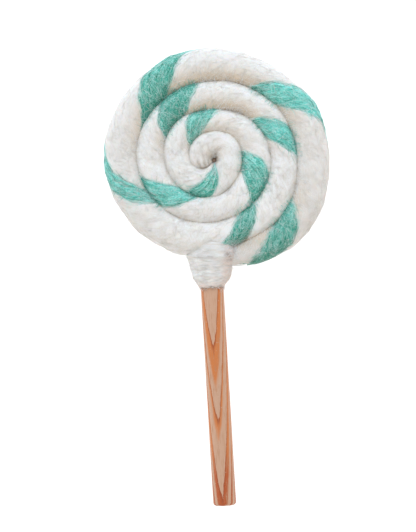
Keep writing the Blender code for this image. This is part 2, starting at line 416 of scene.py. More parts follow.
def even_turns(start, end, spacing):
    """Turn angles of sections an even distance apart, measured near the rope's outer side."""
    turns = np.arange(start, end, SPACING_STEP)
    steps = np.radians(SPACING_STEP) * SPACING_PLACE * rope_walls(turns)[1]
    lengths = np.concatenate([[0.0], np.cumsum(steps)[:-1]])
    count = int(math.ceil(lengths[-1] / spacing))
    return np.interp(np.linspace(0.0, lengths[-1], count + 1), lengths, turns)


def make_mesh(name, points, faces, material):
    """A smooth mesh object, from points in millimetres from the pit."""
    mesh = bpy.data.meshes.new(name)
    placed = points.reshape(-1, 3) * MM + PIT
    mesh.from_pydata(placed.tolist(), [], faces)
    mesh.materials.append(material)
    mesh.shade_smooth()
    piece = bpy.data.objects.new(name, mesh)
    bpy.context.scene.collection.objects.link(piece)
    return piece


def tube_faces(rings, sides):
    """Faces of a closed tube: rings of points in a row, then one point for each of its two ends."""
    near = np.arange(rings - 1)[:, None] * sides
    k = np.arange(sides)[None, :]
    n = (k + 1) % sides
    quads = np.stack([near + k, near + n, near + sides + n, near + sides + k], -1).reshape(-1, 4)
    first = rings * sides
    last = first + 1
    end = (rings - 1) * sides
    start_fan = [[first, (j + 1) % sides, j] for j in range(sides)]
    end_fan = [[last, end + j, end + (j + 1) % sides] for j in range(sides)]
    return quads.tolist() + start_fan + end_fan


def add_tube(name, rings, material):
    """A closed tube through rings of points."""
    count, sides = rings.shape[:2]
    ends = np.stack([rings[0].mean(0), rings[-1].mean(0)])
    return make_mesh(name, np.concatenate([rings.reshape(-1, 3), ends]), tube_faces(count, sides), material)


def add_values(piece, name, values):
    """Stores a number, or a vector of three, for each point of a tube; its two end points copy others'."""
    values = np.asarray(values, np.float32)
    kind = "FLOAT_VECTOR" if values.ndim == 3 else "FLOAT"
    flat = values.reshape(-1, 3) if values.ndim == 3 else values.reshape(-1)
    flat = np.concatenate([flat, flat[:1], flat[-1:]])
    attribute = piece.data.attributes.new(name, kind, "POINT")
    attribute.data.foreach_set("vector" if values.ndim == 3 else "value", flat.ravel())


def groove_closeness(turn, around):
    """1 where the rope meets its neighbours, 0 well away from them; the felt paints shade into the grooves by
    it.
    """
    return ramp(np.abs(sine(around)), *GROOVE_RISE) * (1.0 - free_side(turn, around))


def shaded_flank(turn, around):
    """Painted shade: 1 low on the flanks that face the swirl's middle, away from the stick and on the tail; 0
    elsewhere.
    """
    inner_side = ramp(around, *FLANK_RISE) * ramp(around, *FLANK_FALL)
    outer_turns = 0.45 + 0.55 * ramp(turn, *FLANK_TURNS)
    return inner_side * np.maximum(outer_turns * far_from_stick(turn), TAIL_SHADE * ramp(turn, *TAIL_TURNS))


def painted_shade_share(turn, around):
    """How much grey shade is painted on the rope's upper side in its darker parts."""
    share = sum(share * hump(turn, middle, reach) for middle, reach, share in PAINTED_SHADE_PARTS)
    return np.minimum(share, 1.0) * upper_side(around, 3.0)


def mint_light(turn, around):
    """Above 0 where painted light makes the strand paler, below 0 where painted shade makes it deeper, as
    beside the grooves.
    """
    faces_away = -sine(turn) * cosine(around)
    by_groove = ramp(np.abs(sine(around)), *GROOVE_DUSK_RISE) * (1.0 - free_side(turn, around))
    by_groove = by_groove * np.where(cosine(around) > 0.0, 0.5, 1.0)
    slant = -sine(2.0 * turn - LIGHT_SLANT) * (0.2 + 0.8 * ramp(turn, *SLANT_TURNS))
    return slant + FACING_SHARE * faces_away - GROOVE_DUSK * by_groove


def section_tilt(turn, around):
    """Raises the outer flank and lowers the inner one on the side away from the stick."""
    far_side = far_from_stick(turn) * ramp(turn, *TILT_TURNS)
    return TILT * far_side * upper_side(around, 1.5) * cosine(around)


# Between these values each effect comes in: the sine of the angle round the rope, that angle, or turn angles
GROOVE_RISE = (0.84, 0.5)
GROOVE_DUSK_RISE = (0.97, 0.57)
FLANK_RISE = (68.0, 132.0)
FLANK_FALL = (200.0, 170.0)
FLANK_TURNS = (650.0, 900.0)
TAIL_TURNS = (1440.0, 1480.0)
SLANT_TURNS = (600.0, 900.0)
TILT_TURNS = (700.0, 820.0)
WHITE_TOP_POINTS = 54
WHITE_UNDER_POINTS = 22
WHITE_SPACING = 0.5
MINT_SPACING = 0.42
MINT_SKIN_POINTS = 26
MINT_FLOOR_POINTS = 5
PLUG_RADIUS = 1.8
PLUG_TOP = 7.7
# Turn angles of the rope's darker parts, where grey shade is painted, how far each reaches, and how strong it
# is
PAINTED_SHADE_PARTS = (
    (210.0, 110.0, 0.8), (1268.0, 80.0, 0.6), (1350.0, 80.0, 0.55), (1462.0, 100.0, 0.85),
    (1524.0, 44.0, 1.0))
# Painted shade on the tail's flank, and the painted light and shade of the mint strand: the slant of its
# light, the share that comes from which way its flanks face, and its shade beside the grooves
TAIL_SHADE = 0.8
LIGHT_SLANT = 30.0
FACING_SHARE = 0.7
GROOVE_DUSK = 1.2


def add_rope_values(piece, turn, around):
    """Stores what the felt's material reads: the fibres' way, the strand's edge, and where it paints shade
    and light: the grooves, flanks, darker parts, the strand's light and the creases.
    """
    add_values(piece, "lay", strand_lay(turn, around))
    add_values(piece, "border", colour_border(turn, around))
    add_values(piece, "groove", groove_closeness(turn, around))
    add_values(piece, "flank", shaded_flank(turn, around))
    add_values(piece, "dusk", painted_shade_share(turn, around))
    add_values(piece, "light", mint_light(turn, around))
    # Painted shade in the creases at the swirl's inner end
    creased = ease(inner_end(turn)) * (sine(around) > 0.0)
    add_values(piece, "crease", creased * crease_depth(rope_skin(turn, around)))


def add_white_rope(material):
    """The white rope, a tube with its seam below, finely divided where it shows from above."""
    turns = even_turns(ROPE_START + TIP_SKIP, ROPE_END, WHITE_SPACING)[:, None]
    top = np.linspace(-10.0, 190.0, WHITE_TOP_POINTS, endpoint=False)
    under = np.linspace(190.0, 350.0, WHITE_UNDER_POINTS, endpoint=False)
    around = np.concatenate([top, under])[None, :]
    turn = turns + 0.0 * around
    around = around + 0.0 * turns
    piece = add_tube("white_rope", rope_skin(turn, around, white_lift(turn, around)), material)
    add_rope_values(piece, turn, around)
    return piece


def add_mint_strand(material):
    """The mint strand: its skin from edge to edge, then its floor sunk in the white wool."""
    turns = even_turns(MINT_START, MINT_END, MINT_SPACING)[:, None]
    skin = np.linspace(-1.0, 1.0, MINT_SKIN_POINTS)
    floor = np.linspace(0.8, -0.8, MINT_FLOOR_POINTS)
    place = np.concatenate([skin, floor])[None, :] + 0.0 * turns
    middle, half = strand_middle(turns)
    around = middle + place * (half + edge_wander(turns, place))
    turn = turns + 0.0 * around
    lift = mint_lift(turn, around, place)
    lift[:, MINT_SKIN_POINTS:] = -MINT_FLOOR
    lift = lift - (1.0 - strand_share(turn)) * 0.6
    piece = add_tube("mint_strand", rope_skin(turn, around, lift), material)
    add_rope_values(piece, turn, around)
    return piece


def add_pit_plug(material):
    """The wool deep in the swirl's pit, a low dome between the first turn's walls."""
    bend = np.radians(np.linspace(-80.0, 80.0, 12))[:, None]
    angle = np.radians(np.linspace(0.0, 360.0, 24, endpoint=False))[None, :]
    radius = PLUG_RADIUS * np.cos(bend)
    height = PLUG_TOP * (0.5 + 0.5 * np.sin(bend))
    rings = np.stack([radius * np.cos(angle), radius * np.sin(angle), height + 0.0 * angle], -1)
    return add_tube("pit_plug", rings, material)


# The collar and the stick

COLLAR_POINTS = 120
COLLAR_SPACING = 0.3
COLLAR_ROUNDNESS = 2.3
# Width of the soft fillet where the collar's wool runs out over the rope, and how deep it may lie below
COLLAR_FILLET = 0.5
FILLET_REACH = 1.1
# The uneven hem, and how strong the painted shade is on the collar's right side and near the hem
HEM_WANDER = 0.25
HEM_HEIGHT = 2.4
RIGHT_PAINTED_SHADE = 0.8
HEM_PAINTED_SHADE = 0.7
HEM_PAINTED_SHADE_Y = (-41.5, -44.0)
STICK_POINTS = 72
STICK_SPACING = 1.2


def collar_values(y):
    """Shift, half width and half depth of the collar at a place along Y."""
    rows = np.array(COLLAR_SECTIONS)[::-1]
    return [smooth_value(rows[:, 0], rows[:, k], y) for k in (1, 2, 3)]


def collar_skin(y, angle, lift=0.0):
    """Points on the collar: angle is 0 at +X and 90 on top."""
    shift, half_width, half_depth = collar_values(y)
    out = signed_power(cosine(angle), 2.0 / COLLAR_ROUNDNESS) * half_width
    up = signed_power(sine(angle), 2.0 / COLLAR_ROUNDNESS) * half_depth
    scale = 1.0 + lift / np.maximum(np.hypot(out, up), 1.0)
    height = np.maximum(MID_HEIGHT + up * scale, 0.0)
    return np.stack([STICK_X + shift + out * scale, y + 0.0 * out, height], -1)


def rope_height(x, y):
    """Height of the rope's upper side at places seen from above, 0 where there is none."""
    angle = np.degrees(np.arctan2(-y, x)) % 360.0
    radius = np.hypot(x, y)
    height = np.zeros(np.shape(radius))
    for winding in range(5):
        turn = np.clip(angle + 360.0 * winding, ROPE_START + TIP_SKIP, ROPE_END)
        inner, outer = rope_walls(turn)
        across = np.abs((radius - (inner + outer) / 2.0) / (outer - inner) * 2.0)
        rise = np.maximum(1.0 - across ** ROUNDNESS, 0.0) ** (1.0 / ROUNDNESS)
        there = (across < 1.0) & (turn == angle + 360.0 * winding)
        height = np.maximum(height, np.where(there, MID_HEIGHT + rope_half_height(turn) * rise, 0.0))
    return height


def blend_on_rope(points):
    """Lifts the collar's upper side softly onto the rope where it would run out below the rope's skin."""
    ground = rope_height(points[..., 0], points[..., 1])
    gap = points[..., 2] - ground
    raised = (np.hypot(gap, COLLAR_FILLET) - gap) / 2.0 * ease((gap + FILLET_REACH) / 0.6)
    upper = (ground > MID_HEIGHT + 1.0) & (points[..., 2] > MID_HEIGHT)
    return points + np.where(upper, raised, 0.0)[..., None] * np.array([0.0, 0.0, 1.0])


def winding_lay(y, angle):
    """Places across the windings of the collar's wool, which climb a little as they go round."""
    turn = np.radians(angle)
    climb = y + 0.35 * np.sin(turn + 0.6) + 0.2 * np.sin(2.0 * turn)
    return np.stack([climb, 1.2 * np.cos(turn), 1.2 * np.sin(turn)], -1)


def collar_lift(y, angle):
    """Relief of the wound wool: ridges across the collar and a few lumps."""
    lay = winding_lay(y, angle)
    ridges = waves(lay * (1.0, 0.5, 0.5), 2.4, 21) * 0.04 + waves(lay * (1.0, 0.6, 0.6), 1.1, 22) * 0.02
    return ridges + waves(collar_skin(y, angle), 5.0, 23) * 0.1


def add_collar(material):
    """The wool wound round the stick's top and the rope's lowest turn."""
    top = COLLAR_SECTIONS[0][0]
    end = COLLAR_SECTIONS[-1][0]
    rows = int(round((top - end) / COLLAR_SPACING)) + 1
    y = np.linspace(top, end, rows)[:, None]
    angle = np.linspace(-90.0, 270.0, COLLAR_POINTS, endpoint=False)[None, :]
    y = y + 0.0 * angle
    angle = angle + 0.0 * y
    hem = HEM_WANDER * waves(np.stack([cosine(angle), sine(angle)], -1), 0.7, 24)
    y = y + hem * ease((end + HEM_HEIGHT - y) / HEM_HEIGHT)
    skin = blend_on_rope(collar_skin(y, angle, collar_lift(y, angle)))
    piece = add_tube("wound_collar", skin, material)
    add_values(piece, "lay", winding_lay(y, angle))
    # Painted shade on the collar's right side and near its hem
    right_side = ramp(cosine(angle), 0.2, 0.7)
    add_values(piece, "dusk", np.maximum(RIGHT_PAINTED_SHADE * right_side, HEM_PAINTED_SHADE * ramp(y, *HEM_PAINTED_SHADE_Y)))
    return piece


def stick_skin(y, radius, bend):
    """Points at a distance from the stick's middle line; bend is the angle round it in radians."""
    return np.stack([STICK_X + radius * np.cos(bend), y + 0.0 * bend, MID_HEIGHT + radius * np.sin(bend)], -1)


def add_stick(material):
    """The round wooden stick, its ends rounded."""
    bend = np.linspace(0.0, 84.0, 8)
    inset = STICK_EDGE * (1.0 - sine(bend))
    narrow = STICK_RADIUS - STICK_EDGE * (1.0 - cosine(bend))
    straight = np.arange(STICK_TOP_Y - STICK_EDGE, STICK_END_Y + STICK_EDGE, -STICK_SPACING)[1:]
    y = np.concatenate([STICK_TOP_Y - inset[::-1], straight, STICK_END_Y + inset])[:, None]
    radius = np.concatenate([narrow[::-1], STICK_RADIUS + 0.0 * straight, narrow])[:, None]
    angle = np.radians(np.linspace(-90.0, 270.0, STICK_POINTS, endpoint=False))[None, :]
    grain = waves(stick_skin(y, radius, angle) * (1.0, 0.05, 1.0), 1.4, 41) * 0.02
    return add_tube("wooden_stick", stick_skin(y, radius + grain, angle), material)


# Fibres, each a thin closed tube that tapers to both ends

FIBRE_POINTS = 6
HAIR_POINTS = 4
FIBRE_SIDES = 3
FIBRE_SINK = 0.04
BRIDGE_START = 330.0
# Two small tufts at the collar's sides: where they start, and their way as an angle
TUFTS = (((-10.3, -36.2, 5.0), math.pi), ((3.7, -38.2, 5.6), 0.0))
TUFT_HAIRS = 16


def tubes(lines, radius):
    """Points and faces of tubes along lines, each with three sides and a point at both ends."""
    count, steps = lines.shape[:2]
    way = np.gradient(lines, axis=1)
    way /= np.maximum(np.linalg.norm(way, axis=2, keepdims=True), 1e-9)
    level = np.cross(way, np.array([0.31, 0.17, 0.93]))
    level /= np.maximum(np.linalg.norm(level, axis=2, keepdims=True), 1e-9)
    upright = np.cross(way, level)
    taper = np.sin(np.linspace(0.0, math.pi, steps)) ** 0.4
    wide = (radius[:, None] * taper[None, :])[:, 1:-1, None]
    rings = []
    for k in range(FIBRE_SIDES):
        turn = 2.0 * math.pi * k / FIBRE_SIDES
        outward = math.cos(turn) * level[:, 1:-1] + math.sin(turn) * upright[:, 1:-1]
        rings.append(lines[:, 1:-1] + wide * outward)
    inner = np.stack(rings, 2).reshape(count, -1, 3)
    points = np.concatenate([inner, lines[:, :1], lines[:, -1:]], 1)
    size = points.shape[1]
    one = np.array(sum(([[a, b, c], [a, c, d]] for a, b, c, d in
                        (face for face in tube_faces(steps - 2, FIBRE_SIDES) if len(face) == 4)), [])
                   + [face for face in tube_faces(steps - 2, FIBRE_SIDES) if len(face) == 3])
    faces = (one[None] + (np.arange(count) * size)[:, None, None]).reshape(-1, 3)
    return points.reshape(-1, 3), faces.tolist()


def add_fibres(name, lines, radius, material):
    """One piece of many fibres."""
    points, faces = tubes(lines, radius)
    return make_mesh(name, points, faces, material)


def felt_lift(turn, around):
    """The relief of whichever wool lies on top, white or mint."""
    delta, half = from_strand(turn, around)
    return np.maximum(mint_lift(turn, around, np.clip(delta / half, -1.0, 1.0)), white_lift(turn, around))


def rope_fibres(rng, turn, around, spread, length, height, steps=FIBRE_POINTS):
    """Lines of fibres that follow the rope's skin, spread about the strand's own way."""
    count = len(turn)
    step = rng.uniform(*length, count) / (steps - 1)
    heading = rng.normal(0.0, 1.0, count) * spread
    curl = rng.normal(0.0, 0.5, count)
    rise = rng.uniform(*height, count)
    lines = []
    for k in range(steps):
        t = k / (steps - 1)
        lift = felt_lift(turn, around) + rise * math.sin(math.pi * t) - FIBRE_SINK
        lines.append(rope_skin(turn, around, lift))
        inner, outer = rope_walls(turn)
        ahead = strand_middle(turn + 1.0)[0] - strand_middle(turn)[0]
        radius = np.maximum((inner + outer) / 2.0, 2.0)
        way = np.arctan2(ahead * MEAN_RADIUS, radius) + heading + curl * (t - 0.5)
        turn = turn + np.degrees(step * np.cos(way) / radius)
        turn = np.clip(turn, ROPE_START + TIP_SKIP, ROPE_END)
        around = around + np.degrees(step * np.sin(way) / MEAN_RADIUS)
    lines = np.stack(lines, 1)
    lines[..., 2] = np.maximum(lines[..., 2], 0.06)
    return lines


def random_turns(rng, count, start, end):
    """Turn angles spread evenly over the rope's length."""
    low, high = length_to([start, end])
    return np.interp(rng.uniform(low, high, count), LENGTHS, LENGTH_TURNS)


def random_around(rng, count):
    """Angles around the rope, most of them on its upper side."""
    upper = rng.uniform(-5.0, 185.0, count)
    under = rng.uniform(185.0, 355.0, count)
    return np.where(rng.uniform(size=count) < 0.85, upper, under)


def away_from_mint(rng, count):
    """Places on the rope that show white."""
    turn = random_turns(rng, count * 2, ROPE_START + TIP_SKIP + 2.0, ROPE_END - 4.0)
    around = random_around(rng, count * 2)
    free = colour_border(turn, around) > 0.2
    return turn[free][:count], around[free][:count]


def on_mint(rng, count, margin):
    """Places on the strand at least a margin inside its edges, most of them on its upper side."""
    turn = random_turns(rng, count * 6, MINT_START + 6.0, MINT_END - 4.0)
    middle, half = strand_middle(turn)
    around = middle + rng.uniform(-1.1, 1.1, count * 6) * half
    shows = (sine(around) > -0.1) | (rng.uniform(size=count * 6) < 0.2)
    shows &= colour_border(turn, around) < -margin
    return turn[shows][:count], around[shows][:count]


def border_spread(turn, around, widest):
    """How far fibres spread about the strand's way: little beside its edges, so that they stay on it."""
    return 0.12 + (widest - 0.12) * ease(-colour_border(turn, around) / 2.5)


def add_white_fibres(materials):
    """White fibres that lie on the white wool, half of them a little warmer and darker."""
    rng = np.random.default_rng(101)
    pieces = []
    for name in ("white", "warm_white"):
        turn, around = away_from_mint(rng, count=4600)
        lines = rope_fibres(rng, turn, around, spread=0.75, length=(2.5, 9.0), height=(0.03, 0.12))
        radius = rng.uniform(0.025, 0.045, len(turn))
        pieces.append(add_fibres(name + "_fibres", lines, radius, materials[name]))
    return pieces


def add_mint_fibres(materials):
    """Pale and deep fibres that lie on the mint strand."""
    rng = np.random.default_rng(111)
    pieces = []
    for name, count, widest in (("pale", 5000, 1.1), ("deep", 2000, 0.7)):
        turn, around = on_mint(rng, count, margin=0.0)
        spread = border_spread(turn, around, widest)
        lines = rope_fibres(rng, turn, around, spread, length=(1.5, 6.0), height=(0.04, 0.2))
        radius = rng.uniform(0.5, 1.0, len(turn)) * 0.04
        pieces.append(add_fibres(name + "_mint_fibres", lines, radius, materials[name]))
    return pieces


def add_strayed_fibres(material):
    """White fibres strayed over the mint strand."""
    rng = np.random.default_rng(121)
    turn, around = on_mint(rng, 1300, -0.4)
    lines = rope_fibres(rng, turn, around, 1.1, (2.0, 6.0), (0.05, 0.25))
    return add_fibres("strayed_white_fibres", lines, rng.uniform(0.02, 0.034, len(turn)), material)


def add_fuzz(material):
    """Short hairs that stand off the white wool."""
    rng = np.random.default_rng(202)
    turn, around = away_from_mint(rng, 4200)
    lines = rope_fibres(rng, turn, around, 2.0, (0.8, 3.0), (0.1, 0.45), HAIR_POINTS)
    return add_fibres("white_fuzz", lines, rng.uniform(0.022, 0.036, len(turn)), material)


def add_bridges(materials):
    """Hairs that cross the grooves from one turn of the rope to the next."""
    rng = np.random.default_rng(212)
    count = 2600
    turn = random_turns(rng, count, BRIDGE_START, RIM_START - 10.0)
    near = rng.uniform(28.0, 62.0, count)
    far = rng.uniform(118.0, 152.0, count)
    next_turn = turn + 360.0 + rng.normal(0.0, 4.0, count) * 300.0 / turn
    ends = [(turn, near + 14.0, -0.05), (turn, near, 0.05),
            (next_turn, far, 0.05), (next_turn, far - 14.0, -0.05)]
    lines = np.stack([rope_skin(a, b, felt_lift(a, b) + c) for a, b, c in ends], 1)
    radius = rng.uniform(0.02, 0.038, count)
    minty = (colour_border(turn, near) < 0.0) | (colour_border(next_turn, far) < 0.0)
    return [add_fibres("white_bridges", lines[~minty], radius[~minty], materials["white"]),
            add_fibres("mint_bridges", lines[minty], radius[minty], materials["mid"])]


def add_collar_fibres(name, count, seed, material):
    """Fibres wound round the collar, with a few that stand off it."""
    rng = np.random.default_rng(seed)
    y = rng.uniform(-43.8, -29.4, count)
    angle = rng.uniform(-60.0, 200.0, count)
    step = rng.uniform(3.0, 10.0, count) / (FIBRE_POINTS - 1)
    heading = rng.normal(0.0, 0.25, count)
    curl = rng.normal(0.0, 0.4, count)
    rise = rng.uniform(0.04, 0.16, count)
    lines = []
    for k in range(FIBRE_POINTS):
        t = k / (FIBRE_POINTS - 1)
        lines.append(collar_skin(y, angle, collar_lift(y, angle) + rise * math.sin(math.pi * t) - FIBRE_SINK))
        half_width = collar_values(y)[1]
        way = heading + curl * (t - 0.5)
        angle = angle + np.degrees(step * np.cos(way) / half_width)
        y = np.clip(y + step * np.sin(way), -44.2, -28.9)
    lines = blend_on_rope(np.stack(lines, 1))
    lines[..., 2] = np.maximum(lines[..., 2], 0.06)
    return add_fibres(name, lines, rng.uniform(0.02, 0.038, count), material)


def hem_hairs(rng, count):
    """Lines of hairs that run from the collar's lower edge over the top of the wood."""
    y = rng.uniform(-44.2, -43.3, count)
    angle = rng.uniform(0.0, 180.0, count)
    reach = rng.uniform(0.8, 3.0, count)
    way = rng.normal(0.0, 0.5, count) + np.where(rng.uniform(size=count) < 0.5, 0.0, math.pi)
    rise = rng.uniform(0.1, 0.45, count)
    lines = []
    for t in np.linspace(0.0, 1.0, FIBRE_POINTS):
        radius = STICK_RADIUS + 0.12 + rise * math.sin(math.pi * t)
        bend = np.radians(angle) + reach * t * np.cos(way) / STICK_RADIUS
        lines.append(stick_skin(y + reach * t * np.sin(way) - 0.3 * t, radius, bend))
    return np.stack(lines, 1)


def height_above(x, y):
    """Height of the wool's upper side at places seen from above, 0 where there is none."""
    shift, half_width, half_depth = collar_values(y)
    across = np.abs((x - STICK_X - shift) / half_width)
    on_collar = (across < 1.0) & (y < COLLAR_SECTIONS[0][0]) & (y > COLLAR_SECTIONS[-1][0])
    rise = np.maximum(1.0 - across ** COLLAR_ROUNDNESS, 0.0) ** (1.0 / COLLAR_ROUNDNESS)
    height = np.where(on_collar, MID_HEIGHT + half_depth * rise, 0.0)
    return np.maximum(height, rope_height(x, y))


def lying_hairs(rng, x, y, heading, length, rise):
    """Lines of hairs that lie on the wool, centred on places seen from above."""
    count = len(x)
    reach = rng.uniform(*length, count)
    curl = rng.normal(0.0, 0.5, count)
    lifted = rng.uniform(*rise, count)
    lines = []
    for t in np.linspace(-0.5, 0.5, FIBRE_POINTS):
        way = heading + curl * t
        px = x + t * reach * np.cos(way)
        py = y + t * reach * np.sin(way)
        ground = height_above(px, py)
        lines.append(np.stack([px, py, ground + lifted * math.cos(math.pi * t) - 0.03], -1))
    lines = np.stack(lines, 1)
    top = lines[:, :, 2].max(1, keepdims=True)
    lines[:, :, 2] = np.maximum(lines[:, :, 2], top - 0.45 * reach[:, None])
    return lines


def scattered_hairs(rng, count, middle, spread, length, rise):
    """Lines of hairs in all ways about a place seen from above."""
    x = rng.normal(middle[0], spread[0], count)
    y = rng.normal(middle[1], spread[1], count)
    return lying_hairs(rng, x, y, rng.uniform(0.0, 2.0 * math.pi, count), length, rise)


def add_collar_wisps(material):
    """Hairs that blend the collar's upper edge into the rope, fray its right corner and soften its hem."""
    rng = np.random.default_rng(404)
    count = 200
    x = rng.uniform(-11.0, 5.5, count)
    y = -29.6 - 0.028 * (x + 1.5) ** 2 + rng.normal(0.0, 1.1, count)
    heading = -0.056 * (x + 1.5) + rng.normal(0.0, 0.6, count)
    edge = lying_hairs(rng, x, y, heading, (2.0, 5.5), (0.02, 0.12))
    frayed = scattered_hairs(rng, 240, (4.6, -32.0), (1.5, 1.3), length=(1.0, 3.6), rise=(0.05, 0.5))
    lines = np.concatenate([edge, frayed, hem_hairs(rng, 170)])
    return add_fibres("collar_wisps", lines, rng.uniform(0.02, 0.036, len(lines)), material)


def add_collar_specks(material):
    """Small brown hairs in the collar's frayed right corner and along its hem."""
    rng = np.random.default_rng(414)
    corner = scattered_hairs(rng, 80, (3.5, -32.4), (0.9, 1.2), length=(0.5, 1.8), rise=(0.04, 0.25))
    lines = np.concatenate([corner, hem_hairs(rng, 80)])
    return add_fibres("collar_specks", lines, rng.uniform(0.02, 0.04, len(lines)), material)


def add_tufts(material):
    """Two small tufts that stick out of the collar's sides."""
    rng = np.random.default_rng(505)
    places = np.linspace(0.0, 1.0, FIBRE_POINTS)
    lines = []
    for root, aim in [TUFTS[0]] * TUFT_HAIRS + [TUFTS[1]] * TUFT_HAIRS:
        start = np.array(root) + rng.normal(0.0, 0.25, 3)
        way = aim + rng.normal(0.0, 0.7)
        reach = rng.uniform(1.0, 1.9)
        run = reach * np.array([math.cos(way), math.sin(way), rng.normal(0.0, 0.3)])
        bend = rng.normal(0.0, 0.15, 3)
        lines.append([start + run * t + bend * math.sin(math.pi * t) for t in places])
    return add_fibres("collar_tufts", np.array(lines), rng.uniform(0.02, 0.036, len(lines)), material)


# Materials

WHITE_HAIR = srgb(252, 253, 254)
WHITE_COOL = srgb(247, 249, 251)
WHITE_WARM = srgb(244, 242, 239)
# Colours of painted shade for the white wool's grooves, flanks, darker parts, creases and pit, with the
# warmer hairs' own colour among them
WHITE_SHADE = srgb(228, 217, 200)
WARM_HAIR = srgb(232, 228, 221)
FLANK_SHADE = srgb(214, 197, 174)
GROOVE_SHADE = srgb(170, 146, 120)
DUSK_SHADE = srgb(231, 228, 225)
CREASE_SHADE = srgb(168, 144, 118)
PIT_SHADE = srgb(148, 128, 114)
# Painted shade between the collar's strands, and on its right side and near its hem
COLLAR_SHADE = srgb(240, 235, 229)
COLLAR_PAINTED_SHADE = srgb(236, 214, 204)
SPECK_BROWN = srgb(158, 132, 116)
MINT_DEEP = srgb(40, 136, 117)
MINT_MID = srgb(98, 202, 188)
MINT_PALE = srgb(184, 243, 236)
# Painted shade beside the mint strand's grooves, then its painted light and painted shade and how strongly
# they show
MINT_SHADE = srgb(36, 104, 80)
MINT_SUNNY = srgb(126, 232, 224)
MINT_DUSKY = srgb(38, 132, 108)
MINT_LIGHT_SHARE = 0.5
MINT_SHADOWED = srgb(58, 154, 138)
MINT_FIBRE = srgb(198, 246, 241)
SCATTER = (0.8, 0.5, 0.35)
BORDER_BLUR = 0.8
BORDER_STRAY = 3.0
WOOD_PALE = srgb(208, 168, 142)
WOOD_MID = srgb(186, 136, 103)
WOOD_DARK = srgb(211, 128, 72)
WOOD_EDGE = srgb(158, 72, 36)
WOOD_SPECK = srgb(218, 186, 160)
# The late wood grows deeper towards the stick's lower end, between these places along Y
WOOD_DEEP = srgb(186, 92, 48)
DEEP_WOOD = (-98.0, -112.0)
# Where the wood's rings, 2 mm apart, cross the stick at a slant, and where the late wood starts in each
RING_TILT = 4.4
RING_LEAN = -0.18
RING_PHASE = 0.964
RING_SPACING = 2.0
# Where the points lie across the stick, and how sharp they are
RING_AXIS_X = -4.0
RING_POINT = 0.22
LOWEST_RING = -4.0
RING_STARTS = (0.5, 0.4, 0.5, 0.35, 0.6, 0.3, 0.7, 0.5)
RING_FADE = 0.26


def add_node(tree, kind, values=(), **settings):
    """A shader node with its settings and the values of its sockets."""
    node = tree.nodes.new("ShaderNode" + kind)
    for name, value in settings.items():
        setattr(node, name, value)
    for name, value in dict(values).items():
        node.inputs[name].default_value = value
    return node


def start_material(name, colour, roughness, sheen):
    """A material whose Principled shader has its plain values set."""
    material = bpy.data.materials.new(name)
    material.use_nodes = True
    shader = material.node_tree.nodes["Principled BSDF"]
    shader.inputs["Base Color"].default_value = colour
    shader.inputs["Roughness"].default_value = roughness
    shader.inputs["Specular IOR Level"].default_value = 0.25
    shader.inputs["Sheen Weight"].default_value = sheen
    shader.inputs["Sheen Roughness"].default_value = 0.6
    return material, material.node_tree, shader


def mix_colours(tree, share, first, second):
    """The two colours mixed by share; each is a socket or a plain colour."""
    mix = add_node(tree, "Mix", data_type="RGBA")
    sockets = {"A": mix.inputs[6], "B": mix.inputs[7]}
    tree.links.new(share, mix.inputs[0])
    for socket, value in zip(sockets.values(), (first, second)):
        if isinstance(value, tuple):
            socket.default_value = value
        else:
            tree.links.new(value, socket)
    return mix.outputs[2]


def noise(tree, vector, scale=1.0, detail=3.0, distortion=0.0):
    """Noise over a vector, from 0 to 1."""
    values = {"Scale": scale, "Detail": detail, "Distortion": distortion}
    node = add_node(tree, "TexNoise", values)
    tree.links.new(vector, node.inputs["Vector"])
    return node.outputs["Fac"]


def stepped(tree, value, low, high):
    """0 below low and 1 above high, smooth between."""
    node = add_node(tree, "MapRange", {"From Min": low, "From Max": high}, interpolation_type="SMOOTHSTEP")
    tree.links.new(value, node.inputs["Value"])
    return node.outputs["Result"]


def maths(tree, kind, first, second):
    """The result of a Math node; each of its two values is a socket or a number."""
    node = add_node(tree, "Math", operation=kind)
    for socket, value in zip(node.inputs, (first, second)):
        if isinstance(value, float):
            socket.default_value = value
        else:
            tree.links.new(value, socket)
    return node.outputs["Value"]


def centred(tree, value, height):
    """A noise about 0 instead of about 0.5, this many times as high."""
    return maths(tree, "MULTIPLY", maths(tree, "SUBTRACT", value, 0.5), height)


def stored(tree, name, output="Fac"):
    """What a mesh stores for its points under a name."""
    return add_node(tree, "Attribute", attribute_name=name).outputs[output]


def scaled(tree, vector, scale):
    """A vector times a scale for each of its parts."""
    node = add_node(tree, "VectorMath", operation="MULTIPLY")
    node.inputs[1].default_value = scale
    tree.links.new(vector, node.inputs[0])
    return node.outputs["Vector"]


def add_bump(tree, shader, height, distance, strength=0.6):
    """Fine relief from a height, with its distance in millimetres."""
    bump = add_node(tree, "Bump", {"Strength": strength, "Distance": distance * MM})
    tree.links.new(height, bump.inputs["Height"])
    tree.links.new(bump.outputs["Normal"], shader.inputs["Normal"])


def white_tones(tree, place, streaks, grain, shade):
    """White wool: faint mottles, streaks and grain, with painted shade down the flanks, in grooves, in the
    rope's darker parts and in creases.
    """
    mottles = noise(tree, place, 230.0, 4.0)
    colour = mix_colours(tree, stepped(tree, mottles, 0.35, 0.7), WHITE_COOL, WHITE_WARM)
    hairs = maths(tree, "ADD", maths(tree, "MULTIPLY", streaks, 0.4), maths(tree, "MULTIPLY", grain, 0.6))
    colour = mix_colours(tree, stepped(tree, hairs, 0.56, 0.3), colour, WARM_HAIR)
    colour = mix_colours(tree, stored(tree, "dusk"), colour, DUSK_SHADE)
    colour = mix_colours(tree, stored(tree, "flank"), colour, FLANK_SHADE)
    deepest = mix_colours(tree, stored(tree, "flank"), WHITE_SHADE, GROOVE_SHADE)
    colour = mix_colours(tree, shade, colour, deepest)
    return mix_colours(tree, stored(tree, "crease"), colour, CREASE_SHADE)


